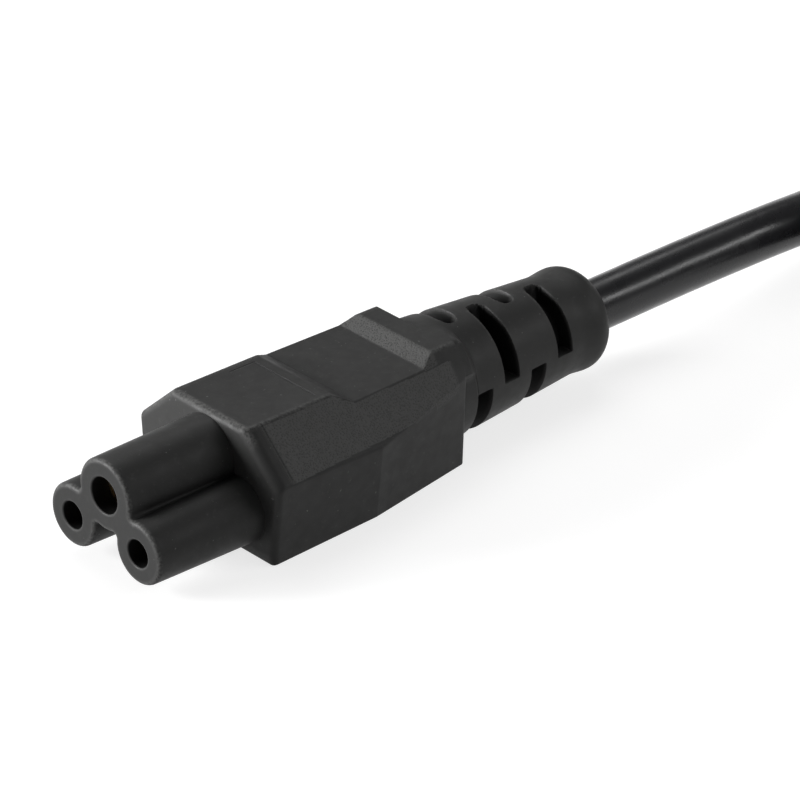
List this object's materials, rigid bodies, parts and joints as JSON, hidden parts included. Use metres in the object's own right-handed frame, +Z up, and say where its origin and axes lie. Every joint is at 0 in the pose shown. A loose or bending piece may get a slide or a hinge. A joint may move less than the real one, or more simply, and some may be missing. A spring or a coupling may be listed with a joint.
{
  "type": "cloverleaf power cord",
  "caption": "Mains lead with a straight three-barrel cloverleaf connector, slotted strain reliefs, a put-away round cord and an earthed continental plug.",
  "frame": {"origin": "on the rest face under the middle of the connector, cord and plug left out", "axes": "+X from the connector's mating face towards its cord, +Y across it, +Z up from the rest face"},
  "size_m": [0.2832, 0.0523, 0.0332],
  "materials": {
    "black_pvc": "satin black PVC moulding",
    "carrier_plastic": "dark engineering plastic",
    "contact_brass": "formed spring brass",
    "line_insulation": "brown PVC insulation",
    "neutral_insulation": "blue PVC insulation",
    "earth_insulation": "green and yellow PVC insulation",
    "cord_jacket": "satin black PVC jacket",
    "tie_strap": "black plastic strap",
    "plated_pin": "nickel plate"
  },
  "bodies": {
    "root": {"connector_housing": "black_pvc", "contact_carrier": "carrier_plastic", "line_contact": "contact_brass", "neutral_contact": "contact_brass", "earth_contact": "contact_brass", "line_wire": "line_insulation", "neutral_wire": "neutral_insulation", "earth_wire": "earth_insulation", "cord_lead": "cord_jacket", "cord_hank": "cord_jacket", "cord_tail": "cord_jacket", "cord_tie": "tie_strap", "plug_housing": "black_pvc", "plug_bridge": "carrier_plastic", "line_pin": "plated_pin", "neutral_pin": "plated_pin", "earth_strap": "plated_pin", "earth_socket": "contact_brass", "plug_line_wire": "line_insulation", "plug_neutral_wire": "neutral_insulation", "plug_earth_wire": "earth_insulation"}
  },
  "joints": []
}
